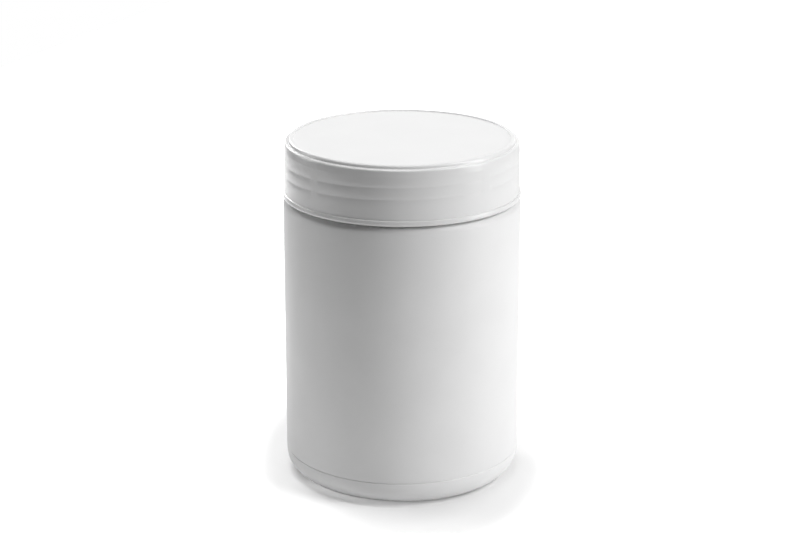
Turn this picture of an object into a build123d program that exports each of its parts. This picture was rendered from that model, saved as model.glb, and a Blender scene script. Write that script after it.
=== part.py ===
from build123d import *
import os

# A straight-sided wide-mouth jar of about one litre, with a flush screw lid and a sealing
# liner. The jar is blow moulded, the lid is injection moulded. All sizes are millimetres,
# Z is the jar's axis and z = 0 is the surface that it stands on.

# Driving dimensions
body_diameter = 104.0
overall_height = 153.0
lid_height = 25.7
wall = 1.4
thread_pitch = 5.2

# Jar, from the base up
body_radius = body_diameter / 2
heel_radius = 10.0
ring_width = 3.5  # the flat ring that the jar stands on
ring_rounding = 2.0
base_recess = 3.4
recess_slope = 5.5
recess_rounding = 3.0
base_wall = 1.6
seam_length = 60.0  # weld left where the mould pinched the base shut
seam_width = 1.2
seam_proud = 0.5
groove_height = 11.5  # joint between the mould's base insert and its body
groove_depth = 0.3
groove_half_width = 0.3
lid_gap = 0.7  # open joint between the lid's edge and the shoulder
shoulder_radius = 3.2
neck_radius = 47.6
neck_wall = 2.0
neck_foot_rounding = 0.8
bore_foot_rounding = 2.0
lip_outer_rounding = 0.5
lip_inner_rounding = 0.7

# Lid, from the top down
rim_radius = 49.25
rim_width = 2.1
rim_outer_rounding = 0.8
rim_inner_rounding = 0.2
panel_recess = 0.4
panel_corner_rounding = 0.15
panel_wall = 1.6
ledge_drop = 1.5
ledge_rounding = 0.25
skirt_top_radius = 51.28
skirt_low_radius = 51.45
skirt_top_rounding = 0.55
band_height = 2.3
band_top_radius = 52.15
band_top_rounding = 0.15
band_low_radius = 51.95
band_low_rounding = 0.6
lid_bore_radius = 49.8
bore_draft = 0.15
bore_edge_rounding = 0.4
bore_top_rounding = 0.3
bead_radius = 0.5  # small bead that keeps the liner in the lid

# Liner
liner_thickness = 1.2
liner_clearance = 0.3

# Thread: a single right-handed start on the neck, and one inside the lid
thread_depth = 1.6
thread_foot = 1.45  # half widths of a ridge, at its foot inside the wall and at its crest
thread_crest = 0.6
thread_rounding = 0.4
thread_root = 0.5  # how far a ridge's foot is sunk in its wall
run_out_skim = 0.05  # the run-out's cut stays this far off the wall, so no face lies on another
run_out_height = 3.7
run_out_radius = 20.0  # of the round cut that runs the lid's ridge out
lid_thread_drop = 13.8  # lid thread's lower turn, below the top, at the front of the jar
lid_thread_before = 170  # degrees of thread before and after that point
lid_thread_after = 500
neck_thread_before = 200
neck_thread_after = 400
thread_offset = 2.05  # the neck's ridge runs this far above the lid's, so the lid hangs on it
core_gap_angle = 224  # where the lid's thread is broken by the moulding core's segments
core_gap_width = 4.9
core_gap_count = 4

# Levels worked out from these
lid_bottom = overall_height - lid_height
shoulder_height = lid_bottom - lid_gap
panel_top = overall_height - panel_recess
panel_underside = panel_top - panel_wall
lip_height = panel_underside - liner_thickness
inner_radius = body_radius - wall
bore_radius = neck_radius - neck_wall
ring_inner_radius = body_radius - heel_radius - ring_width
recess_radius = ring_inner_radius - recess_slope
front_angle = 270


def half_section(corners):
    """Close a half section through (distance from the axis, height, corner rounding)."""
    points = [(radius, height) for radius, height, rounding in corners]
    FilletPolyline(*points, radius=[corner[2] for corner in corners], close=True)


def thread_ridge(wall_radius, side, turns):
    """A right-handed ridge that starts on +X at z = 0, proud outwards (1) or inwards (-1)."""
    reach = side * thread_depth
    root = -side * thread_root
    with BuildPart() as ridge:
        with BuildLine() as path:
            Helix(pitch=thread_pitch, height=thread_pitch * turns, radius=wall_radius)
        with BuildSketch(Plane(origin=path.line @ 0, x_dir=(1, 0, 0), z_dir=path.line % 0)) as tooth:
            with BuildLine():
                Polyline(
                    (root, -thread_foot),
                    (reach, -thread_crest),
                    (reach, thread_crest),
                    (root, thread_foot),
                    close=True,
                )
            make_face()
            corners = tooth.vertices().sort_by(Axis.X)
            fillet(corners[2:] if side > 0 else corners[:2], thread_rounding)
        sweep(path=path.wires()[0], is_frenet=True)
        # Each end runs out into the wall over a few millimetres
        for turn in (0, turns):
            with Locations(Location((0, 0, thread_pitch * turn), (0, 0, 360 * turn))):
                run_out(wall_radius, side)
    return ridge.part


def run_out(wall_radius, side):
    """Pare a ridge's end down to its wall: by a flat outside a neck, by a round inside a lid."""
    if side > 0:
        with Locations((wall_radius - run_out_skim, 0, 0)):
            Box(
                3 * thread_depth,
                wall_radius,
                run_out_height,
                align=(Align.MIN, Align.CENTER, Align.CENTER),
                mode=Mode.SUBTRACT,
            )
    else:
        with Locations((wall_radius + run_out_skim - run_out_radius, 0, 0)):
            Cylinder(run_out_radius, run_out_height, mode=Mode.SUBTRACT)


# Jar: one revolved shell with a recessed base, a rounded heel and a stepped-in neck
with BuildPart() as jar:
    with BuildSketch(Plane.XZ):
        with BuildLine():
            half_section([
                (0, base_recess, 0),
                (recess_radius, base_recess, recess_rounding),
                (ring_inner_radius, 0, ring_rounding),
                (body_radius, 0, heel_radius),
                (body_radius, shoulder_height, shoulder_radius),
                (neck_radius, shoulder_height, neck_foot_rounding),
                (neck_radius, lip_height, lip_outer_rounding),
                (bore_radius, lip_height, lip_inner_rounding),
                (bore_radius, shoulder_height - base_wall, bore_foot_rounding),
                (inner_radius, shoulder_height - base_wall, shoulder_radius - wall),
                (inner_radius, base_wall, heel_radius - wall),
                (ring_inner_radius, base_wall, ring_rounding),
                (recess_radius, base_recess + base_wall, recess_rounding),
                (0, base_recess + base_wall, 0),
            ])
        make_face()
    revolve(axis=Axis.Z)
    # Witness groove round the heel's upper edge
    with BuildSketch(Plane.XZ):
        with BuildLine():
            Polyline(
                (body_radius - groove_depth, groove_height),
                (body_radius + groove_depth, groove_height + 2 * groove_half_width),
                (body_radius + groove_depth, groove_height - 2 * groove_half_width),
                close=True,
            )
        make_face()
    revolve(axis=Axis.Z, mode=Mode.SUBTRACT)
    # Pinch-off weld across the recessed base
    with BuildSketch(Plane.XY.offset(base_recess - seam_proud)):
        SlotOverall(seam_length, seam_width)
    extrude(amount=2 * seam_proud)

neck_turns = (neck_thread_before + neck_thread_after) / 360
neck_thread = thread_ridge(neck_radius, 1, neck_turns)
neck_thread_start = (
    overall_height - lid_thread_drop + thread_offset - thread_pitch * neck_thread_before / 360
)
with BuildPart() as threaded_jar:
    add(jar.part)
    with Locations(Location((0, 0, neck_thread_start), (0, 0, front_angle - neck_thread_before))):
        add(neck_thread)

# Lid: recessed panel in a raised rim, a ledge, a skirt and a proud band at its edge
with BuildPart() as lid:
    with BuildSketch(Plane.XZ):
        with BuildLine():
            half_section([
                (0, panel_top, 0),
                (rim_radius - rim_width, panel_top, panel_corner_rounding),
                (rim_radius - rim_width, overall_height, rim_inner_rounding),
                (rim_radius, overall_height, rim_outer_rounding),
                (rim_radius, overall_height - ledge_drop, ledge_rounding),
                (skirt_top_radius, overall_height - ledge_drop, skirt_top_rounding),
                (skirt_low_radius, lid_bottom + band_height, 0),
                (band_top_radius, lid_bottom + band_height, band_top_rounding),
                (band_low_radius, lid_bottom, band_low_rounding),
                (lid_bore_radius + bore_draft, lid_bottom, bore_edge_rounding),
                (lid_bore_radius, panel_underside, bore_top_rounding),
                (0, panel_underside, 0),
            ])
        make_face()
    revolve(axis=Axis.Z)
    with BuildSketch(Plane.XZ):
        with Locations((lid_bore_radius, lip_height - bead_radius)):
            Circle(bead_radius)
    revolve(axis=Axis.Z)

lid_turns = (lid_thread_before + lid_thread_after) / 360
lid_thread_start = overall_height - lid_thread_drop - thread_pitch * lid_thread_before / 360
with BuildPart() as broken_thread:
    with Locations(Location((0, 0, lid_thread_start), (0, 0, front_angle - lid_thread_before))):
        add(thread_ridge(lid_bore_radius, -1, lid_turns))
    with PolarLocations(lid_bore_radius, core_gap_count, core_gap_angle):
        with Locations((0, 0, overall_height - lid_height / 2)):
            Box(4 * thread_depth, core_gap_width, lid_height, mode=Mode.SUBTRACT)
with BuildPart() as threaded_lid:
    add(lid.part)
    add(broken_thread.part)

# Liner: a die-cut foam disc that the lid presses on the jar's lip
with BuildPart() as liner:
    with BuildSketch(Plane.XY.offset(lip_height)):
        Circle(lid_bore_radius - liner_clearance)
    extrude(amount=liner_thickness)

os.makedirs("parts", exist_ok=True)
threaded_jar.part.label = "jar"
threaded_lid.part.label = "lid"
liner.part.label = "liner"
export_step(threaded_jar.part, "parts/jar.step")
export_step(threaded_lid.part, "parts/lid.step")
export_step(liner.part, "parts/liner.step")
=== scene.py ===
import re
from math import cos, pi, radians, sin

import bpy
from mathutils import Matrix, Vector


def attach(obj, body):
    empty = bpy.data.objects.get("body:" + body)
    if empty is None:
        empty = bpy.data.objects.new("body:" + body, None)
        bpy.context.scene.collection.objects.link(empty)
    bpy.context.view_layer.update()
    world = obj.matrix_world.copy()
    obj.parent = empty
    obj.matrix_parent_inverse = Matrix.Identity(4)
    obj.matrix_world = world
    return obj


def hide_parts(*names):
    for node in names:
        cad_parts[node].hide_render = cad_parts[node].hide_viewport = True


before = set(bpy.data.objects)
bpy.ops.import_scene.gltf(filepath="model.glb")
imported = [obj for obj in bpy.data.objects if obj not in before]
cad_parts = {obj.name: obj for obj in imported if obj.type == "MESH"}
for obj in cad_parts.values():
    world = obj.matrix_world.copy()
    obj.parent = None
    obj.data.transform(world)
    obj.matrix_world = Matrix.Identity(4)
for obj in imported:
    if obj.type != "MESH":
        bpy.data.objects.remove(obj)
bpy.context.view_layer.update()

# A straight-sided wide-mouth jar with its screw lid and liner, dressed for its picture.
scene = bpy.context.scene
mm = 0.001
hardEdge = radians(42)  # edges sharper than this stay hard
print("frame: nodes", sorted(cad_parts))


# ---- Small helpers for node trees

def put(tree, kind, plugs=None, **settings):
    node = tree.nodes.new(kind)
    for name, value in settings.items():
        setattr(node, name, value)
    for key, value in (plugs or {}).items():
        if isinstance(value, bpy.types.NodeSocket):
            tree.links.new(value, node.inputs[key])
        else:
            node.inputs[key].default_value = value
    place = len(tree.nodes)
    node.location = (200 * (place % 10), -260 * (place // 10))
    return node


def get(tree, kind, plugs=None, **settings):
    return put(tree, kind, plugs, **settings).outputs[0]


def floats(*labels):
    return [(label, "Float") for label in labels]


def makeGroup(kind, name, inputs, outputs):
    tree = bpy.data.node_groups.new(name, kind)
    for side, sockets in (("INPUT", inputs), ("OUTPUT", outputs)):
        for label, socketType in sockets:
            tree.interface.new_socket(name=label, in_out=side, socket_type="NodeSocket" + socketType)
    return tree, put(tree, "NodeGroupInput").outputs, put(tree, "NodeGroupOutput").inputs


def calc(tree, operation, *values):
    return get(tree, "ShaderNodeMath", dict(enumerate(values)), operation=operation)


def plus(tree, first, second):
    return calc(tree, "ADD", first, second)


def minus(tree, first, second):
    return calc(tree, "SUBTRACT", first, second)


def over(tree, first, second):
    return calc(tree, "DIVIDE", first, second)


def times(tree, first, *others):
    for other in others:
        first = calc(tree, "MULTIPLY", first, other)
    return first


def ease(tree, value, low, high, start=0.0, end=1.0):
    plugs = dict(enumerate((value, low, high, start, end)))
    return get(tree, "ShaderNodeMapRange", plugs, interpolation_type="SMOOTHSTEP")


def attribute(tree, name, dataType="FLOAT"):
    return get(tree, "GeometryNodeInputNamedAttribute", {"Name": name}, data_type=dataType)


def split(tree, vector):
    return put(tree, "ShaderNodeSeparateXYZ", {0: vector}).outputs


def join(tree, x, y, z=0.0):
    return get(tree, "ShaderNodeCombineXYZ", {0: x, 1: y, 2: z})


def noise(tree, scale, detail, **others):
    return get(tree, "ShaderNodeTexNoise", {"Scale": scale, "Detail": detail, **others})


def polar(tree):
    # Place, distance from the axis and angle about it, of the point being moved
    place = split(tree, get(tree, "GeometryNodeInputPosition"))
    reach = calc(tree, "SQRT", plus(tree, times(tree, place[0], place[0]), times(tree, place[1], place[1])))
    return place, reach, calc(tree, "ARCTAN2", place[1], place[0])


def moveRadially(tree, geometry, place, reach, newReach):
    scale = over(tree, newReach, calc(tree, "MAXIMUM", reach, 1e-6))
    spot = join(tree, times(tree, place[0], scale), times(tree, place[1], scale), place[2])
    return get(tree, "GeometryNodeSetPosition", {"Geometry": geometry, "Position": spot})


def finishTree(tree, result, geometry, material):
    # Smooth faces with hard edges only where two faces really meet at an angle
    angle = get(tree, "GeometryNodeInputMeshEdgeAngle")
    hard = get(tree, "FunctionNodeCompare", {"A": angle, "B": hardEdge}, operation="GREATER_THAN")
    smooth = get(tree, "GeometryNodeSetShadeSmooth", {"Geometry": geometry, "Shade Smooth": True})
    creased = get(tree, "GeometryNodeSetShadeSmooth",
                  {"Geometry": smooth, "Selection": hard, "Shade Smooth": False}, domain="EDGE")
    plain = get(tree, "GeometryNodeRealizeInstances", {"Geometry": creased})
    painted = get(tree, "GeometryNodeSetMaterial", {"Geometry": plain, "Material": material})
    tree.links.new(painted, result["Geometry"])


# ---- Shapes that more than one piece uses

def makeTurnedShell():
    # Turns a rounded outline about the axis. The outline's x is the distance outside the turning
    # radius, and its y is the height turned over
    tree, given, result = makeGroup(
        "GeometryNodeTree", "turnedShell",
        [("Outline", "Geometry"), *floats("Turn Radius"), ("Turn Steps", "Int")],
        [("Shell", "Geometry"), ("Rounded Outline", "Geometry")])
    corners = get(tree, "GeometryNodeMeshToCurve", {"Mesh": given["Outline"]})
    rounded = get(tree, "GeometryNodeFilletCurve", {
        "Curve": corners, "Count": attribute(tree, "arcSteps", "INT"), "Radius": attribute(tree, "rounding")},
        mode="POLY")
    here = get(tree, "GeometryNodeInputPosition")
    nextOne = put(tree, "GeometryNodeOffsetPointInCurve", {"Offset": 1}).outputs["Point Index"]
    there = get(tree, "GeometryNodeFieldAtIndex", {"Value": here, "Index": nextOne}, data_type="FLOAT_VECTOR")
    run = put(tree, "ShaderNodeVectorMath", {0: here, 1: there}, operation="DISTANCE").outputs["Value"]
    cuts = calc(tree, "FLOOR", over(tree, run, attribute(tree, "rowStep")))
    rows = get(tree, "GeometryNodeSubdivideCurve", {"Curve": rounded, "Cuts": cuts})
    ring = get(tree, "GeometryNodeCurvePrimitiveCircle",
               {"Resolution": given["Turn Steps"], "Radius": given["Turn Radius"]})
    turned = get(tree, "GeometryNodeCurveToMesh", {"Curve": ring, "Profile Curve": rows})
    closed = get(tree, "GeometryNodeMergeByDistance", {"Geometry": turned, "Distance": 1e-6})
    tree.links.new(closed, result["Shell"])
    tree.links.new(rows, result["Rounded Outline"])
    return tree


def makeThreadRidge():
    # A right-handed screw ridge in one or more sections, proud outwards (side 1) or inwards (side -1)
    tree, given, result = makeGroup(
        "GeometryNodeTree", "threadRidge",
        [*floats("Wall Radius", "Side", "Depth", "Root", "Foot Width", "Crest Width", "Rounding", "Pitch",
                 "Start Height", "Start Angle", "End Angle", "Run Out", "First Gap", "Gap Step", "Half Gap"),
         ("Sections", "Int"), ("Points", "Int")],
        [("Ridge", "Geometry")])
    index = get(tree, "GeometryNodeInputIndex")
    section = calc(tree, "FLOOR", over(tree, plus(tree, index, 0.5), given["Points"]))
    inSection = minus(tree, index, times(tree, section, given["Points"]))
    share = over(tree, inSection, minus(tree, given["Points"], 1))
    gap = calc(tree, "MULTIPLY_ADD", section, given["Gap Step"], given["First Gap"])
    low = calc(tree, "MAXIMUM", given["Start Angle"],
               plus(tree, minus(tree, gap, given["Gap Step"]), given["Half Gap"]))
    high = calc(tree, "MINIMUM", given["End Angle"], minus(tree, gap, given["Half Gap"]))
    angle = calc(tree, "MULTIPLY_ADD", minus(tree, high, low), share, low)
    passed = minus(tree, angle, given["Start Angle"])
    rise = calc(tree, "MULTIPLY_ADD", over(tree, passed, 2 * pi), given["Pitch"], given["Start Height"])
    spot = join(tree, times(tree, given["Wall Radius"], calc(tree, "COSINE", angle)),
                times(tree, given["Wall Radius"], calc(tree, "SINE", angle)), rise)
    toEnd = calc(tree, "MINIMUM", passed, minus(tree, given["End Angle"], angle))
    reach = ease(tree, times(tree, toEnd, given["Wall Radius"]), 0.0, given["Run Out"])
    count = times(tree, given["Sections"], given["Points"])
    dots = get(tree, "GeometryNodePoints", {"Count": count, "Position": spot})
    marked = get(tree, "GeometryNodeStoreNamedAttribute",
                 {"Geometry": dots, "Name": "reach", "Value": reach}, data_type="FLOAT")
    path = get(tree, "GeometryNodePointsToCurves", {"Points": marked, "Curve Group ID": section})
    upright = get(tree, "GeometryNodeSetCurveNormal", {"Curve": path}, mode="Z_UP")
    # The tooth: a trapezoid on its side, rounded at its crest
    height = plus(tree, given["Depth"], given["Root"])
    tooth = get(tree, "GeometryNodeCurvePrimitiveQuadrilateral", {
        "Height": height, "Offset": 0.0, "Bottom Width": given["Foot Width"],
        "Top Width": given["Crest Width"]}, mode="TRAPEZOID")
    toothPlace = split(tree, get(tree, "GeometryNodeInputPosition"))
    crestOnly = times(tree, calc(tree, "GREATER_THAN", toothPlace[1], 0.0), given["Rounding"])
    rounded = get(tree, "GeometryNodeFilletCurve",
                  {"Curve": tooth, "Count": 3, "Radius": crestOnly}, mode="POLY")
    outwards = minus(tree, plus(tree, toothPlace[1], times(tree, height, 0.5)), given["Root"])
    across = times(tree, toothPlace[0], times(tree, given["Side"], -1.0))
    turned = join(tree, times(tree, outwards, given["Side"]), across)
    profile = get(tree, "GeometryNodeSetPosition", {"Geometry": rounded, "Position": turned})
    ridge = get(tree, "GeometryNodeCurveToMesh",
                {"Curve": upright, "Profile Curve": profile, "Fill Caps": True})
    # Towards its ends the ridge sinks into the wall
    place, distance, _ = polar(tree)
    pastWall, deepest = 0.05 * mm, 0.9 * mm
    sunk = times(tree, minus(tree, 1.0, attribute(tree, "reach")), plus(tree, given["Depth"], pastWall))
    lowest = minus(tree, times(tree, given["Wall Radius"], given["Side"]), deepest)
    level = calc(tree, "MAXIMUM", minus(tree, times(tree, distance, given["Side"]), sunk), lowest)
    faded = moveRadially(tree, ridge, place, distance, times(tree, level, given["Side"]))
    tree.links.new(faded, result["Ridge"])
    return tree


def outlineMesh(name, turnRadius, corners):
    # corners: distance from the axis, height, corner rounding, spacing of the rows up to the next corner
    mesh = bpy.data.meshes.new(name)
    mesh.from_pydata([(radius - turnRadius, -height, 0.0) for radius, height, rounding, rowStep in corners],
                     [(i, i + 1) for i in range(len(corners) - 1)], [])
    fewest, most, stepsPerMm = 4, 18, 1.4
    roundings = [corner[2] for corner in corners]
    steps = [min(most, int(fewest + rounding / mm * stepsPerMm)) for rounding in roundings]
    for label, kind, values in (("rounding", "FLOAT", roundings), ("arcSteps", "INT", steps),
                                ("rowStep", "FLOAT", [corner[3] for corner in corners])):
        mesh.attributes.new(label, kind, "POINT").data.foreach_set("value", values)
    return mesh


def growPiece(name, tree, mesh, inputs):
    piece = bpy.data.objects.new(name, mesh)
    scene.collection.objects.link(piece)
    modifier = piece.modifiers.new(name + "Nodes", "NODES")
    modifier.node_group = tree
    for item in tree.interface.items_tree:
        if item.in_out == "INPUT" and item.name in inputs:
            modifier[item.identifier] = inputs[item.name]
    graph = bpy.context.evaluated_depsgraph_get()
    plain = bpy.data.meshes.new_from_object(piece.evaluated_get(graph))
    piece.modifiers.clear()
    piece.data = plain
    bpy.data.meshes.remove(mesh)
    plain.name = name
    finish = next(material for material in plain.materials if material)
    plain.materials.clear()
    plain.materials.append(finish)
    plain.polygons.foreach_set("material_index", [0] * len(plain.polygons))
    for label in ("rounding", "rowStep", "arcSteps", "reach", "seam"):
        if label in plain.attributes:
            plain.attributes.remove(plain.attributes[label])
    triangles = sum(len(face.vertices) - 2 for face in plain.polygons)
    print(name + ":", len(plain.vertices), "points,", triangles, "triangles")
    return piece


turnedShell = makeTurnedShell()
threadRidge = makeThreadRidge()


def turnOutline(tree, given):
    plugs = {"Outline": given["Geometry"], **{name: given[name] for name in ("Turn Radius", "Turn Steps")}}
    return put(tree, "GeometryNodeGroup", plugs, node_tree=turnedShell).outputs


def titled(sizes):
    # A size named sinkDepth feeds an input named Sink Depth
    return {re.sub("([A-Z])", r" \1", name).title(): value for name, value in sizes.items()}


# ---- Finishes

def makeMouldedSkin():
    # What both moulded plastics share: cloudy tone, orange peel and uneven gloss
    tree, given, result = makeGroup(
        "ShaderNodeTree", "mouldedSkin",
        [("Tone", "Color"),
         *floats("Cloud Size", "Cloud Amount", "Peel Size", "Gloss", "Gloss Spread", "Flow Stretch")],
        [("Color", "Color"), *floats("Roughness", "Height")])
    spot = put(tree, "ShaderNodeTexCoord").outputs["Object"]
    clouds = noise(tree, over(tree, 1.0, given["Cloud Size"]), 3.0, Vector=spot, Roughness=0.5)
    shade = ease(tree, clouds, 0.3, 0.7, minus(tree, 1.0, given["Cloud Amount"]), 1.0)
    tone = get(tree, "ShaderNodeVectorMath", {0: given["Tone"], "Scale": shade}, operation="SCALE")
    tree.links.new(tone, result["Color"])
    # Gloss varies in streaks drawn out along the axis, as the plastic flowed
    stretch = join(tree, 1.0, 1.0, given["Flow Stretch"])
    drawn = get(tree, "ShaderNodeVectorMath", {0: spot, 1: stretch}, operation="MULTIPLY")
    streakScale, streakHeight = 260.0, 0.35
    streaks = noise(tree, streakScale, 4.0, Vector=drawn, Roughness=0.6)
    half = times(tree, given["Gloss Spread"], 0.5)
    low, high = minus(tree, given["Gloss"], half), plus(tree, given["Gloss"], half)
    gloss = ease(tree, streaks, 0.25, 0.75, low, high)
    tree.links.new(gloss, result["Roughness"])
    peel = noise(tree, over(tree, 1.0, given["Peel Size"]), 2.0, Vector=spot, Roughness=0.45)
    tree.links.new(calc(tree, "MULTIPLY_ADD", streaks, streakHeight, peel), result["Height"])
    return tree


def makeBenchRub():
    # Mask of fine scuffs, strongest below a height and fading above it
    tree, given, result = makeGroup(
        "ShaderNodeTree", "benchRub", floats("Height", "Fade", "Scratch Size"), floats("Mask"))
    spot = put(tree, "ShaderNodeTexCoord").outputs["Object"]
    level = split(tree, spot)[2]
    near = ease(tree, minus(tree, level, given["Height"]), 0.0, given["Fade"], 1.0, 0.0)
    scuffs = noise(tree, over(tree, 1.0, given["Scratch Size"]), 6.0, Vector=spot, Roughness=0.7)
    tree.links.new(times(tree, near, ease(tree, scuffs, 0.45, 0.6)), result["Mask"])
    return tree


mouldedSkin = makeMouldedSkin()
benchRub = makeBenchRub()


def blankMaterial(name):
    material = bpy.data.materials.new(name)
    material.use_nodes = True
    tree = material.node_tree
    tree.nodes.clear()
    shader = put(tree, "ShaderNodeBsdfPrincipled")
    put(tree, "ShaderNodeOutputMaterial", {"Surface": shader.outputs[0]})
    return material, tree, shader


def mixTones(tree, shader, factor, first, second):
    # Sockets 6 and 7 are the two colours, and output 2 is their mix
    mix = put(tree, "ShaderNodeMix", {"Factor": factor, 6: first, 7: second}, data_type="RGBA")
    tree.links.new(mix.outputs[2], shader.inputs["Base Color"])


def addBump(tree, shader, height, values):
    plugs = {"Height": height, "Strength": values["bump"], "Distance": values["bumpDepth"]}
    tree.links.new(get(tree, "ShaderNodeBump", plugs), shader.inputs["Normal"])


def plasticMaterial(name, values):
    material, tree, shader = blankMaterial(name)
    skin = put(tree, "ShaderNodeGroup", values["skin"], node_tree=mouldedSkin)
    mask = get(tree, "ShaderNodeGroup", values["rub"], node_tree=benchRub)
    rubbed = times(tree, mask, values["rubShade"])
    mixTones(tree, shader, rubbed, skin.outputs["Color"], (*values["rubTone"], 1))
    rough = calc(tree, "MULTIPLY_ADD", mask, values["rubRough"], skin.outputs["Roughness"])
    tree.links.new(rough, shader.inputs["Roughness"])
    addBump(tree, shader, skin.outputs["Height"], values)
    shader.inputs["IOR"].default_value = values["ior"]
    shader.inputs["Specular IOR Level"].default_value = values["specular"]
    shader.inputs["Diffuse Roughness"].default_value = values["diffuseRoughness"]
    return material


# ---- Jar

jarSizes = {
    "wallRadius": 52.0 * mm, "innerRadius": 50.6 * mm, "heelRounding": 10.0 * mm,
    "innerHeelRounding": 8.6 * mm, "ringInnerRadius": 38.5 * mm, "recessRadius": 33.0 * mm,
    "baseRecess": 3.4 * mm, "baseWall": 1.6 * mm, "grooveHeight": 11.5 * mm, "grooveDepth": 0.3 * mm,
    "grooveSwing": 0.12 * mm, "baseShift": 0.11 * mm,
    "shoulderHeight": 126.6 * mm, "shoulderRounding": 3.2 * mm, "neckRadius": 47.6 * mm,
    "boreRadius": 45.6 * mm, "lipHeight": 149.8 * mm, "wallLow": 14.0 * mm, "wallHigh": 122.0 * mm,
    "waviness": 0.05 * mm, "waveLength": 34.0 * mm, "beadRadius": 0.15 * mm, "beadProud": 0.06 * mm,
    "weldLength": 60.0 * mm, "weldRadius": 0.6 * mm, "weldProud": 0.5 * mm, "turnSteps": 300,
}
toothSizes = {
    "pitch": 5.2 * mm, "depth": 1.6 * mm, "root": 0.5 * mm, "footWidth": 2.9 * mm, "crestWidth": 1.2 * mm,
    "rounding": 0.4 * mm, "runOut": 12.0 * mm,
}
screwPlaces = {
    "frontAngle": radians(270), "lidTop": 153.0 * mm, "lidThreadDrop": 13.8 * mm,
    "neckAboveLid": 2.05 * mm, "lidBefore": radians(170), "lidAfter": radians(500),
    "neckBefore": radians(200), "neckAfter": radians(400), "pointSpacing": radians(1.5),
}


def jarCorners(s):
    innerFloor = s["baseRecess"] + s["baseWall"]
    innerShoulder = s["shoulderHeight"] - s["baseWall"]
    return [
        (0.0, innerFloor, 0.0, 3 * mm),
        (s["recessRadius"], innerFloor, 3 * mm, 1 * mm),
        (s["ringInnerRadius"], s["baseWall"], 2 * mm, 1 * mm),
        (s["innerRadius"], s["baseWall"], s["innerHeelRounding"], 6 * mm),
        (s["innerRadius"], innerShoulder, 1.8 * mm, 1 * mm),
        (s["boreRadius"], innerShoulder, 2 * mm, 3 * mm),
        (s["boreRadius"], s["lipHeight"], 0.7 * mm, 1 * mm),
        (s["neckRadius"], s["lipHeight"], 0.5 * mm, 3 * mm),
        (s["neckRadius"], s["shoulderHeight"], 0.8 * mm, 1 * mm),
        (s["wallRadius"], s["shoulderHeight"], s["shoulderRounding"], 2 * mm),
        (s["wallRadius"], s["grooveHeight"] + s["grooveDepth"], 0.08 * mm, 1 * mm),
        (s["wallRadius"] - s["grooveDepth"], s["grooveHeight"], 0.06 * mm, 1 * mm),
        (s["wallRadius"], s["grooveHeight"] - s["grooveDepth"], 0.08 * mm, 1 * mm),
        (s["wallRadius"], 0.0, s["heelRounding"], 1 * mm),
        (s["ringInnerRadius"], 0.0, 2 * mm, 1 * mm),
        (s["recessRadius"], s["baseRecess"], 3 * mm, 2 * mm),
        (0.0, s["baseRecess"], 0.0, 2 * mm),
    ]


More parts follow.
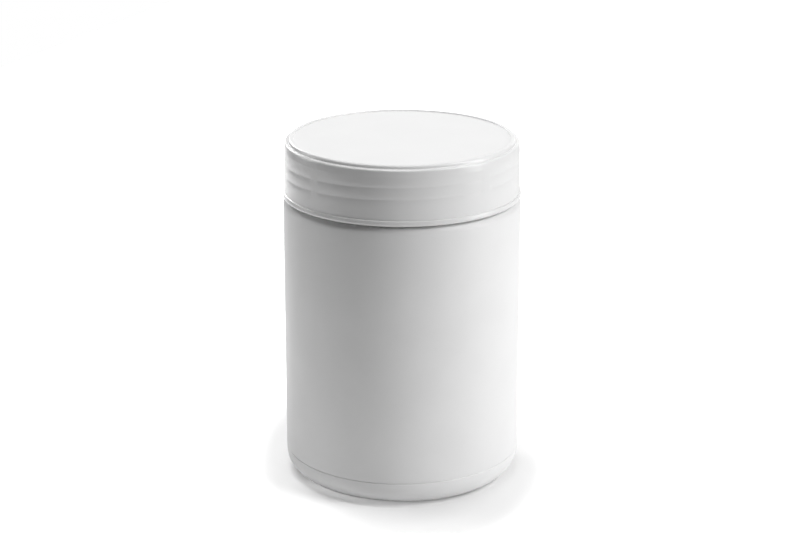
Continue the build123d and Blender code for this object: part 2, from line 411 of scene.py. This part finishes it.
def makeJarTree():
    tree, given, result = makeGroup(
        "GeometryNodeTree", "jarBody",
        [("Geometry", "Geometry"), ("Turn Steps", "Int"), ("Thread Points", "Int"), ("Finish", "Material"),
         *floats("Turn Radius", "Waviness", "Wave Length", "Wall Radius", "Wall Low", "Wall High",
                 "Groove Height", "Groove Swing", "Base Shift", "Bead Radius", "Bead Proud", "Weld Length",
                 "Weld Radius", "Weld Height", "Thread Start Height", "Thread Start", "Thread End",
                 "Neck Radius")],
        [("Geometry", "Geometry")])
    shell = turnOutline(tree, given)
    # The mould's base insert sat a little off centre, so its witness line is open on one side
    # and proud on the other
    grooveMiddle, grooveBand, heelSkin, wallSkin = 0.35 * mm, 0.25 * mm, 0.45 * mm, 0.5 * mm
    place, reach, _ = polar(tree)
    side = over(tree, place[0], given["Wall Radius"])
    inWall = minus(tree, given["Wall Radius"], grooveMiddle)
    atGroove = times(tree, calc(tree, "COMPARE", reach, inWall, grooveBand),
                     calc(tree, "COMPARE", place[2], given["Groove Height"], grooveBand))
    deeper = times(tree, atGroove, calc(tree, "MULTIPLY_ADD", side, -1.0, -0.1))
    grooveReach = minus(tree, reach, times(tree, deeper, given["Groove Swing"]))
    opened = moveRadially(tree, shell["Shell"], place, reach, grooveReach)
    below = calc(tree, "LESS_THAN", place[2], given["Groove Height"])
    outer = calc(tree, "GREATER_THAN", reach, minus(tree, given["Wall Radius"], heelSkin))
    slide = ease(tree, place[2], 0.0, given["Groove Height"], 0.0, given["Base Shift"])
    sideways = join(tree, times(tree, below, outer, slide), 0.0)
    shifted = get(tree, "GeometryNodeSetPosition", {"Geometry": opened, "Offset": sideways})
    # The blown wall is never quite true between the heel and the shoulder
    wave = noise(tree, over(tree, 1.0, given["Wave Length"]), 1.0)
    fadeHeight, waveMiddle = 20 * mm, 0.75
    fadeIn = ease(tree, place[2], given["Wall Low"], plus(tree, given["Wall Low"], fadeHeight))
    fadeFrom = minus(tree, given["Wall High"], fadeHeight)
    fadeOut = ease(tree, place[2], fadeFrom, given["Wall High"], 1.0, 0.0)
    outside = calc(tree, "GREATER_THAN", reach, minus(tree, given["Wall Radius"], wallSkin))
    swell = times(tree, times(tree, fadeIn, fadeOut, outside),
                  times(tree, minus(tree, wave, waveMiddle), given["Waviness"]))
    body = moveRadially(tree, shifted, place, reach, plus(tree, reach, swell))
    # Parting beads run up both sides, where the mould's halves met
    flat = split(tree, get(tree, "GeometryNodeInputPosition"))
    beadFoot = 1 * mm
    offSeam = calc(tree, "MAXIMUM", calc(tree, "LESS_THAN", attribute(tree, "seam"), 0.99),
                   calc(tree, "GREATER_THAN", flat[1], -beadFoot))
    stretch = get(tree, "GeometryNodeDeleteGeometry",
                  {"Geometry": shell["Rounded Outline"], "Selection": offSeam})
    along = split(tree, get(tree, "GeometryNodeInputTangent"))
    sunk = minus(tree, given["Bead Radius"], given["Bead Proud"])
    beadX = minus(tree, plus(tree, flat[0], given["Turn Radius"]), times(tree, along[1], sunk))
    beadZ = minus(tree, times(tree, flat[1], -1.0), times(tree, along[0], sunk))
    beadPath = get(tree, "GeometryNodeSetPosition",
                   {"Geometry": stretch, "Position": join(tree, beadX, 0.0, beadZ)})
    beadSection = get(tree, "GeometryNodeCurvePrimitiveCircle",
                      {"Resolution": 8, "Radius": given["Bead Radius"]})
    bead = get(tree, "GeometryNodeCurveToMesh",
               {"Curve": beadPath, "Profile Curve": beadSection, "Fill Caps": True})
    otherSide = get(tree, "GeometryNodeTransform", {"Geometry": bead, "Rotation": (0.0, 0.0, pi)})
    # The pinched weld across the recessed base, a little uneven along its length
    half = times(tree, given["Weld Length"], 0.5)
    ends = [join(tree, times(tree, half, sign), 0.0, given["Weld Height"]) for sign in (-1.0, 1.0)]
    line = get(tree, "GeometryNodeCurvePrimitiveLine", {"Start": ends[0], "End": ends[1]})
    weldPath = get(tree, "GeometryNodeResampleCurve", {"Curve": line, "Count": 90})
    factor = put(tree, "GeometryNodeSplineParameter").outputs["Factor"]
    fromEnd = calc(tree, "MINIMUM", factor, minus(tree, 1.0, factor))
    endShare, lumpScale = (-0.004, 0.03), 220.0
    rounded = ease(tree, fromEnd, *endShare, 0.3, 1.0)
    plump = times(tree, rounded, ease(tree, noise(tree, lumpScale, 2.0), 0.2, 0.8, 0.86, 1.0))
    weldCurve = get(tree, "GeometryNodeSetCurveRadius", {"Curve": weldPath, "Radius": plump})
    weldSection = get(tree, "GeometryNodeCurvePrimitiveCircle",
                      {"Resolution": 14, "Radius": given["Weld Radius"]})
    weld = get(tree, "GeometryNodeCurveToMesh",
               {"Curve": weldCurve, "Profile Curve": weldSection, "Scale": plump, "Fill Caps": True})
    # The neck's ridge is in one section: its gap lies far past its end
    farAngle = 1000.0
    thread = get(tree, "GeometryNodeGroup", {
        **titled(toothSizes), "Wall Radius": given["Neck Radius"], "Side": 1.0,
        "Start Height": given["Thread Start Height"], "Start Angle": given["Thread Start"],
        "End Angle": given["Thread End"], "Sections": 1, "Points": given["Thread Points"],
        "First Gap": farAngle, "Gap Step": farAngle, "Half Gap": 0.0}, node_tree=threadRidge)
    joined = put(tree, "GeometryNodeJoinGeometry")
    for part in (thread, weld, otherSide, bead, body):
        tree.links.new(part, joined.inputs[0])
    finishTree(tree, result, joined.outputs[0], given["Finish"])
    return tree


jarFinish = {
    "skin": {"Tone": (0.83, 0.83, 0.83, 1), "Cloud Size": 0.022, "Cloud Amount": 0.02, "Peel Size": 0.0011,
             "Gloss": 0.46, "Gloss Spread": 0.08, "Flow Stretch": 0.12},
    "rub": {"Height": 0.0006, "Fade": 0.004, "Scratch Size": 0.0009},
    "rubTone": (0.62, 0.61, 0.59), "rubShade": 0.5, "rubRough": 0.15, "bump": 0.12, "bumpDepth": 0.00012,
    "ior": 1.5, "specular": 0.5, "diffuseRoughness": 0.3,
}
jarPlastic = plasticMaterial("jarPlastic", jarFinish)

jarOutline = jarCorners(jarSizes)
jarMesh = outlineMesh("jar", jarSizes["neckRadius"], jarOutline)
beadFrom, beadTo = 8, 13  # corners at the neck's foot and the heel, between which the parting bead runs
jarMesh.attributes.new("seam", "FLOAT", "POINT").data.foreach_set(
    "value", [1.0 if beadFrom <= i <= beadTo else 0.0 for i in range(len(jarOutline))])
frontHeight = screwPlaces["lidTop"] - screwPlaces["lidThreadDrop"]
neckHeight = frontHeight + screwPlaces["neckAboveLid"]
neckStart = screwPlaces["frontAngle"] - screwPlaces["neckBefore"]
neckTurned = screwPlaces["neckBefore"] + screwPlaces["neckAfter"]
jar = growPiece("wideMouthJar", makeJarTree(), jarMesh, {
    **titled(jarSizes), "Turn Radius": jarSizes["neckRadius"],
    "Weld Height": jarSizes["baseRecess"] - jarSizes["weldProud"] + jarSizes["weldRadius"],
    "Thread Start Height": neckHeight - toothSizes["pitch"] * screwPlaces["neckBefore"] / (2 * pi),
    "Thread Start": neckStart, "Thread End": neckStart + neckTurned,
    "Thread Points": int(neckTurned / screwPlaces["pointSpacing"]), "Finish": jarPlastic})


# ---- Lid

lidSizes = {
    "top": 153.0 * mm, "height": 25.7 * mm, "rimRadius": 49.6 * mm, "rimWidth": 2.45 * mm,
    "rimSlant": 0.4 * mm, "panelRecess": 0.4 * mm, "panelWall": 1.6 * mm, "ledgeDrop": 1.5 * mm,
    "skirtTopRadius": 51.28 * mm, "skirtLowRadius": 51.45 * mm, "skirtRow": 0.36 * mm,
    "bandHeight": 2.3 * mm, "bandTopRadius": 51.95 * mm, "bandRadius": 52.13 * mm,
    "bandLowRadius": 51.98 * mm, "bandDraft": 1.3 * mm, "bandBevel": 0.08 * mm,
    "boreRadius": 49.8 * mm, "boreDraft": 0.15 * mm, "beadRadius": 0.5 * mm, "beadHeight": 149.3 * mm,
    "outerRadius": 50.6 * mm, "sinkDepth": 0.16 * mm, "sinkReach": 2.6 * mm, "sinkEdge": 0.2 * mm,
    "sinkDrop": 0.6 * mm, "lean": 0.3 * mm, "leanHeight": 3.4 * mm, "gapAngle": radians(224),
    "gapWidth": 4.9 * mm, "gapSwell": 0.02 * mm, "sections": 8, "sectionPoints": 60, "turnSteps": 360,
}


def lidCorners(s):
    bottom = s["top"] - s["height"]
    panelTop = s["top"] - s["panelRecess"]
    underside = panelTop - s["panelWall"]
    ledge = s["top"] - s["ledgeDrop"]
    bandTop = bottom + s["bandHeight"]
    innerRim = s["rimRadius"] - s["rimWidth"]
    return [
        (0.0, panelTop, 0.0, 2.5 * mm),
        (innerRim, panelTop, 0.15 * mm, 1 * mm),
        (innerRim, s["top"], 0.2 * mm, 0.6 * mm),
        (s["rimRadius"] - s["rimSlant"], s["top"], 1.0 * mm, 0.2 * mm),
        (s["rimRadius"], ledge, 0.15 * mm, 0.3 * mm),
        (s["skirtTopRadius"], ledge, 0.85 * mm, s["skirtRow"]),
        (s["skirtLowRadius"], bandTop + s["bandBevel"], 0.06 * mm, 0.5 * mm),
        (s["bandTopRadius"], bandTop - s["bandBevel"], 0.15 * mm, 0.3 * mm),
        (s["bandRadius"], bandTop - s["bandDraft"], 0.5 * mm, 0.3 * mm),
        (s["bandLowRadius"], bottom, 0.6 * mm, 0.5 * mm),
        (s["boreRadius"] + s["boreDraft"], bottom, 0.4 * mm, 2 * mm),
        (s["boreRadius"], s["beadHeight"] - s["beadRadius"], 0.15 * mm, 1 * mm),
        (s["boreRadius"] - s["beadRadius"], s["beadHeight"], 0.3 * mm, 1 * mm),
        (s["boreRadius"], s["beadHeight"] + s["beadRadius"], 0.15 * mm, 1 * mm),
        (s["boreRadius"], underside, 0.3 * mm, 2 * mm),
        (0.0, underside, 0.0, 2 * mm),
    ]


reliefLabels = ("Sink Depth", "Sink Reach", "Sink Edge", "Lean", "Lean Height", "Gap Angle", "Gap Swell",
                "Ledge", "Band Top", "Outer Radius")


def makeSkirtRelief():
    # Marks that shrinkage leaves outside the lid: a dip over each turn of thread, a lean under the ledge,
    # and plain upright bars where the thread is broken
    tree, given, result = makeGroup(
        "GeometryNodeTree", "skirtRelief",
        [("Shell", "Geometry"),
         *floats("Pitch", "Start Height", "Start Angle", "Turned Angle", "Half Gap", *reliefLabels)],
        [("Shell", "Geometry")])
    place, reach, angle = polar(tree)
    turn = over(tree, minus(tree, angle, given["Start Angle"]), 2 * pi)
    level = over(tree, minus(tree, place[2], given["Start Height"]), given["Pitch"])
    fromTurn = minus(tree, level, turn)
    whole = calc(tree, "ROUND", fromTurn)
    away = times(tree, minus(tree, fromTurn, whole), given["Pitch"])
    passed = times(tree, plus(tree, turn, whole), 2 * pi)
    left = minus(tree, given["Turned Angle"], passed)
    fadeTurn = (0.05, 0.6)
    fade = times(tree, ease(tree, passed, *fadeTurn), ease(tree, left, *fadeTurn))
    edgeSquared = times(tree, given["Sink Edge"], given["Sink Edge"])
    blunt = calc(tree, "SQRT", plus(tree, times(tree, away, away), edgeSquared))
    slope = calc(tree, "MAXIMUM", minus(tree, 1.0, over(tree, blunt, given["Sink Reach"])), 0.0)
    # Four gaps stand a quarter turn apart
    gapEdge = 0.5 * mm
    quarter = over(tree, minus(tree, angle, given["Gap Angle"]), pi / 2)
    offQuarter = minus(tree, quarter, calc(tree, "ROUND", quarter))
    fromGap = calc(tree, "ABSOLUTE", times(tree, offQuarter, times(tree, reach, pi / 2)))
    offGap = ease(tree, fromGap, minus(tree, given["Half Gap"], gapEdge),
                  plus(tree, given["Half Gap"], gapEdge))
    sink = times(tree, times(tree, slope, slope, given["Sink Depth"]), times(tree, fade, offGap))
    # Where the thread is broken the skirt leans less
    gapLean, bandFade = 0.45, (0.1 * mm, 1.5 * mm)
    fromLedge = over(tree, minus(tree, given["Ledge"], place[2]), given["Lean Height"])
    leaning = times(tree, calc(tree, "MAXIMUM", minus(tree, 1.0, fromLedge), 0.0),
                    times(tree, given["Lean"], ease(tree, offGap, 0.0, 1.0, gapLean, 1.0)))
    swell = times(tree, minus(tree, 1.0, offGap), given["Gap Swell"])
    inwards = minus(tree, plus(tree, sink, leaning), swell)
    aboveBand = ease(tree, place[2], *(plus(tree, given["Band Top"], height) for height in bandFade))
    onSkirt = times(tree, calc(tree, "GREATER_THAN", reach, given["Outer Radius"]), aboveBand)
    newReach = minus(tree, reach, times(tree, inwards, onSkirt))
    moved = moveRadially(tree, given["Shell"], place, reach, newReach)
    tree.links.new(moved, result["Shell"])
    return tree


def makeLidTree():
    tree, given, result = makeGroup(
        "GeometryNodeTree", "screwLid",
        [("Geometry", "Geometry"), ("Turn Steps", "Int"), ("Sections", "Int"), ("Section Points", "Int"),
         ("Finish", "Material"),
         *floats("Turn Radius", "Thread Start Height", "Thread Start", "Thread Turned", "Bore Radius",
                 "Sink Drop", "Gap Width", *reliefLabels)],
        [("Geometry", "Geometry")])
    halfGap = times(tree, given["Gap Width"], 0.5)
    shell = turnOutline(tree, given)["Shell"]
    relief = get(tree, "GeometryNodeGroup", {
        **{label: given[label] for label in reliefLabels}, "Shell": shell,
        "Pitch": toothSizes["pitch"], "Half Gap": halfGap,
        "Start Height": minus(tree, given["Thread Start Height"], given["Sink Drop"]),
        "Start Angle": given["Thread Start"], "Turned Angle": given["Thread Turned"]},
        node_tree=makeSkirtRelief())
    # The first gap is the one that follows the thread's start
    thread = get(tree, "GeometryNodeGroup", {
        **titled(toothSizes), "Wall Radius": given["Bore Radius"], "Side": -1.0,
        "Start Height": given["Thread Start Height"], "Start Angle": given["Thread Start"],
        "End Angle": plus(tree, given["Thread Start"], given["Thread Turned"]),
        "Sections": given["Sections"], "Points": given["Section Points"],
        "First Gap": minus(tree, given["Gap Angle"], pi / 2), "Gap Step": pi / 2,
        "Half Gap": calc(tree, "ARCSINE", over(tree, halfGap, given["Bore Radius"]))},
        node_tree=threadRidge)
    joined = put(tree, "GeometryNodeJoinGeometry")
    for part in (thread, relief):
        tree.links.new(part, joined.inputs[0])
    finishTree(tree, result, joined.outputs[0], given["Finish"])
    return tree


lidFinish = {
    "skin": {"Tone": (0.78, 0.78, 0.78, 1), "Cloud Size": 0.03, "Cloud Amount": 0.015, "Peel Size": 0.0016,
             "Gloss": 0.26, "Gloss Spread": 0.01, "Flow Stretch": 0.3},
    "rub": {"Height": 0.1273, "Fade": 0.0012, "Scratch Size": 0.0008},
    "rubTone": (0.66, 0.65, 0.63), "rubShade": 0.3, "rubRough": 0.1, "bump": 0.01, "bumpDepth": 0.00010,
    "ior": 1.5, "specular": 0.5, "diffuseRoughness": 0.1,
}
lidPlastic = plasticMaterial("lidPlastic", lidFinish)

lidStart = screwPlaces["frontAngle"] - screwPlaces["lidBefore"]
lid = growPiece("screwLid", makeLidTree(), outlineMesh("lid", lidSizes["rimRadius"], lidCorners(lidSizes)), {
    **titled(lidSizes), "Turn Radius": lidSizes["rimRadius"], "Thread Start": lidStart,
    "Thread Start Height": frontHeight - toothSizes["pitch"] * screwPlaces["lidBefore"] / (2 * pi),
    "Thread Turned": screwPlaces["lidBefore"] + screwPlaces["lidAfter"],
    "Ledge": lidSizes["top"] - lidSizes["ledgeDrop"],
    "Band Top": lidSizes["top"] - lidSizes["height"] + lidSizes["bandHeight"], "Finish": lidPlastic})


# ---- Liner

linerSizes = {
    "radius": 49.5 * mm, "top": 151.0 * mm, "thickness": 1.2 * mm, "edgeRounding": 0.12 * mm,
    "pressInner": 45.4 * mm, "pressOuter": 47.8 * mm, "pressDepth": 0.12 * mm,
    "pressSlope": 0.25 * mm, "turnSteps": 240,
}
linerFinish = {
    "tone": (0.82, 0.82, 0.80), "shadowTone": (0.70, 0.70, 0.67), "cellSize": 0.00045, "roughness": 0.75,
    "roughSpread": 0.12, "bump": 0.5, "bumpDepth": 0.00012,
}


def linerCorners(s):
    bottom = s["top"] - s["thickness"]
    pressed = bottom + s["pressDepth"]
    return [
        (0.0, s["top"], 0.0, 4 * mm),
        (s["radius"], s["top"], s["edgeRounding"], 1 * mm),
        (s["radius"], bottom, s["edgeRounding"], 1 * mm),
        (s["pressOuter"], bottom, 0.1 * mm, 1 * mm),
        (s["pressOuter"] - s["pressSlope"], pressed, 0.1 * mm, 1 * mm),
        (s["pressInner"] + s["pressSlope"], pressed, 0.1 * mm, 1 * mm),
        (s["pressInner"], bottom, 0.1 * mm, 2 * mm),
        (0.0, bottom, 0.0, 2 * mm),
    ]


def makeLinerTree():
    tree, given, result = makeGroup(
        "GeometryNodeTree", "liner",
        [("Geometry", "Geometry"), *floats("Turn Radius"), ("Turn Steps", "Int"), ("Finish", "Material")],
        [("Geometry", "Geometry")])
    finishTree(tree, result, turnOutline(tree, given)["Shell"], given["Finish"])
    return tree


def makeLinerFoam(values):
    # Closed cells of two sizes, cut open on the face that seals
    material, tree, shader = blankMaterial("linerFoam")
    spot = put(tree, "ShaderNodeTexCoord").outputs["Object"]
    cells, fine = (get(tree, "ShaderNodeTexVoronoi", {"Vector": spot, "Scale": finer / values["cellSize"]})
                   for finer in (1, 2.7))
    pores = calc(tree, "MULTIPLY_ADD", fine, 0.4, cells)
    mixTones(tree, shader, ease(tree, pores, 0.15, 0.75), (*values["shadowTone"], 1), (*values["tone"], 1))
    rough = ease(tree, pores, 0.1, 0.9, values["roughness"], values["roughness"] - values["roughSpread"])
    tree.links.new(rough, shader.inputs["Roughness"])
    addBump(tree, shader, pores, values)
    return material


liner = growPiece("sealingLiner", makeLinerTree(),
                  outlineMesh("liner", linerSizes["pressInner"], linerCorners(linerSizes)),
                  {**titled(linerSizes), "Turn Radius": linerSizes["pressInner"],
                   "Finish": makeLinerFoam(linerFinish)})

for piece, node, slotName in ((jar, "jar", "jar_plastic"), (lid, "lid", "lid_plastic"),
                              (liner, "liner", "liner_foam")):
    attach(piece, node)
    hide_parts(node)
print("pieces: jar, lid and liner in place")


# ---- Studio

cameraView = {
    "aim": (-0.86 * mm, 0.0, 93.5 * mm), "distance": 994 * mm, "elevation": radians(17.79),
    "lens": 101.1, "sensor": 36, "clipEnd": 20,
}
# The glows lift the paper. A pair of distances, in metres, is where one starts and where it is full or gone.
floorValues = {
    "tone": (0.93, 0.93, 0.93), "halfWidth": 0.6, "front": 0.44, "back": 1.6, "turn": radians(-22),
    "heelGlow": 0.42, "heelReach": (0.045, 0.055), "heelAcross": (-0.03, 0.035),
    "heelDepth": (-0.03, -0.01), "sideGlow": 0.19, "sideReach": (0.0385, 0.06), "sideAcross": (0.0, 0.05),
    "sideMiddle": -0.01, "sideDepth": (0.01, 0.06), "farReach": (0.058, 0.085), "flatten": 0.62,
    "shift": 0.012,
    "mirrorGlow": 0.8, "mirrorReach": (0.06, 0.2), "mirrorAcross": (-0.05, 0.1),
}
surroundings = {"behind": 1.0, "before": 0.0, "edge": (0.75, 0.9)}
lampPlaces = {"distance": 1.2, "aimHeight": 0.095}
lamps = {
    "keyBox": {"azimuth": 67, "elevation": 42, "size": (0.5, 0.5), "power": 7.2},
    "sideBox": {"azimuth": 77, "elevation": 8, "size": (0.5, 0.45), "power": 5.6},
    "topBox": {"azimuth": 0, "elevation": 89, "size": (0.5, 0.5), "power": 5.3},
    "leftTopBox": {"azimuth": -120, "elevation": 68, "size": (0.5, 0.5), "power": 4.0},
    "leftLowBox": {"azimuth": -105, "elevation": 8, "size": (0.5, 0.45), "power": 2.2},
    "leftBackBox": {"azimuth": -150, "elevation": 25, "size": (0.5, 0.5), "power": 4.7},
}


def addCamera(view):
    camera = bpy.data.objects.new("camera", bpy.data.cameras.new("camera"))
    camera.data.lens = view["lens"]
    camera.data.sensor_width = view["sensor"]
    camera.data.clip_end = view["clipEnd"]
    back = Vector((0, -cos(view["elevation"]), sin(view["elevation"]))) * view["distance"]
    camera.location = Vector(view["aim"]) + back
    camera.rotation_euler = (radians(90) - view["elevation"], 0, 0)
    scene.collection.objects.link(camera)
    scene.camera = camera


def addFloor(values):
    mesh = bpy.data.meshes.new("floor")
    halfWidth, front, back = values["halfWidth"], -values["front"], values["back"]
    # The paper stands askew, so one corner of the dark room shows in the jar's left side
    turned = Matrix.Rotation(values["turn"], 3, "Z")
    corners = [(-halfWidth, front, 0), (halfWidth, front, 0), (halfWidth, back, 0), (-halfWidth, back, 0)]
    mesh.from_pydata([turned @ Vector(corner) for corner in corners], [], [(0, 1, 2, 3)])
    material, tree, shader = blankMaterial("studioPaper")
    spot = put(tree, "ShaderNodeTexCoord").outputs["Object"]
    grainScale = 900.0
    grain = ease(tree, noise(tree, grainScale, 3.0, Vector=spot), 0.2, 0.8, 0.985, 1.0)
    tone = get(tree, "ShaderNodeVectorMath", {0: values["tone"], "Scale": grain}, operation="SCALE")
    tree.links.new(tone, shader.inputs["Base Color"])
    shader.inputs["Roughness"].default_value = 0.9
    shader.inputs["Specular IOR Level"].default_value = 0.0
    # Seen by the camera the paper is white, and still keeps the jar's shadow
    rays = put(tree, "ShaderNodeLightPath").outputs
    distance = put(tree, "ShaderNodeVectorMath", {0: spot}, operation="LENGTH").outputs["Value"]
    across, depth, _ = split(tree, spot)
    # The shadow reaches further to the front and back than to the sides
    narrowed, moved = (1, values["flatten"], 1), (0, -values["shift"] * values["flatten"], 0)
    flat = get(tree, "ShaderNodeVectorMath", {0: spot, 1: narrowed, 2: moved}, operation="MULTIPLY_ADD")
    aside = put(tree, "ShaderNodeVectorMath", {0: flat}, operation="LENGTH").outputs["Value"]
    near = times(tree, ease(tree, distance, *values["heelReach"], values["heelGlow"], 0.0),
                 ease(tree, across, *values["heelAcross"], 1.0, 0.1),
                 ease(tree, depth, *values["heelDepth"], 1.0, 0.0))
    fromMiddle = calc(tree, "ABSOLUTE", minus(tree, depth, values["sideMiddle"]))
    side = times(tree, ease(tree, aside, *values["sideReach"], 0.0, values["sideGlow"]),
                 ease(tree, across, *values["sideAcross"], 1.0, 0.5),
                 ease(tree, fromMiddle, *values["sideDepth"], 1.0, 0.7))
    far = ease(tree, aside, *values["farReach"])
    seen = times(tree, rays["Is Camera Ray"], plus(tree, far, plus(tree, near, side)))
    # In reflections its left half brightens towards the edges, where the lamps no longer reach
    mirrored = times(tree, calc(tree, "MAXIMUM", rays["Is Glossy Ray"], rays["Is Transmission Ray"]),
                     ease(tree, distance, *values["mirrorReach"], 0.0, values["mirrorGlow"]),
                     ease(tree, across, *values["mirrorAcross"], 1.0, 0.0))
    shader.inputs["Emission Color"].default_value = (1, 1, 1, 1)
    tree.links.new(plus(tree, seen, mirrored), shader.inputs["Emission Strength"])
    mesh.materials.append(material)
    floor = bpy.data.objects.new("studioFloor", mesh)
    scene.collection.objects.link(floor)


def addWorld(values):
    world = bpy.data.worlds.new("studio")
    world.use_nodes = True
    tree = world.node_tree
    tree.nodes.clear()
    # White for the camera; in reflections white right behind the jar and dark elsewhere
    rays = put(tree, "ShaderNodeLightPath").outputs
    mirrored = calc(tree, "MAXIMUM", rays["Is Glossy Ray"], rays["Is Transmission Ray"])
    sight = put(tree, "ShaderNodeTexCoord").outputs["Generated"]
    room = ease(tree, split(tree, sight)[1], *values["edge"], values["before"], values["behind"])
    strength = calc(tree, "MAXIMUM", rays["Is Camera Ray"], times(tree, mirrored, room))
    sky = get(tree, "ShaderNodeBackground", {"Color": (1, 1, 1, 1), "Strength": strength})
    put(tree, "ShaderNodeOutputWorld", {"Surface": sky})
    scene.world = world


def addLamp(name, values):
    light = bpy.data.lights.new(name, "AREA")
    light.shape = "RECTANGLE"
    light.size, light.size_y = values["size"]
    light.energy = values["power"]
    lamp = bpy.data.objects.new(name, light)
    across = Vector((sin(radians(values["azimuth"])), -cos(radians(values["azimuth"])), 0))
    elevation = radians(values["elevation"])
    away = across * cos(elevation) + Vector((0, 0, sin(elevation)))
    lamp.location = Vector((0, 0, lampPlaces["aimHeight"])) + away * lampPlaces["distance"]
    lamp.rotation_euler = away.to_track_quat("Z", "Y").to_euler()
    lamp.visible_camera = False
    scene.collection.objects.link(lamp)


addCamera(cameraView)
addFloor(floorValues)
addWorld(surroundings)
for lampName, lampValues in lamps.items():
    addLamp(lampName, lampValues)
scene.view_settings.view_transform = "Standard"
print("studio:", len(lamps), "lamps")
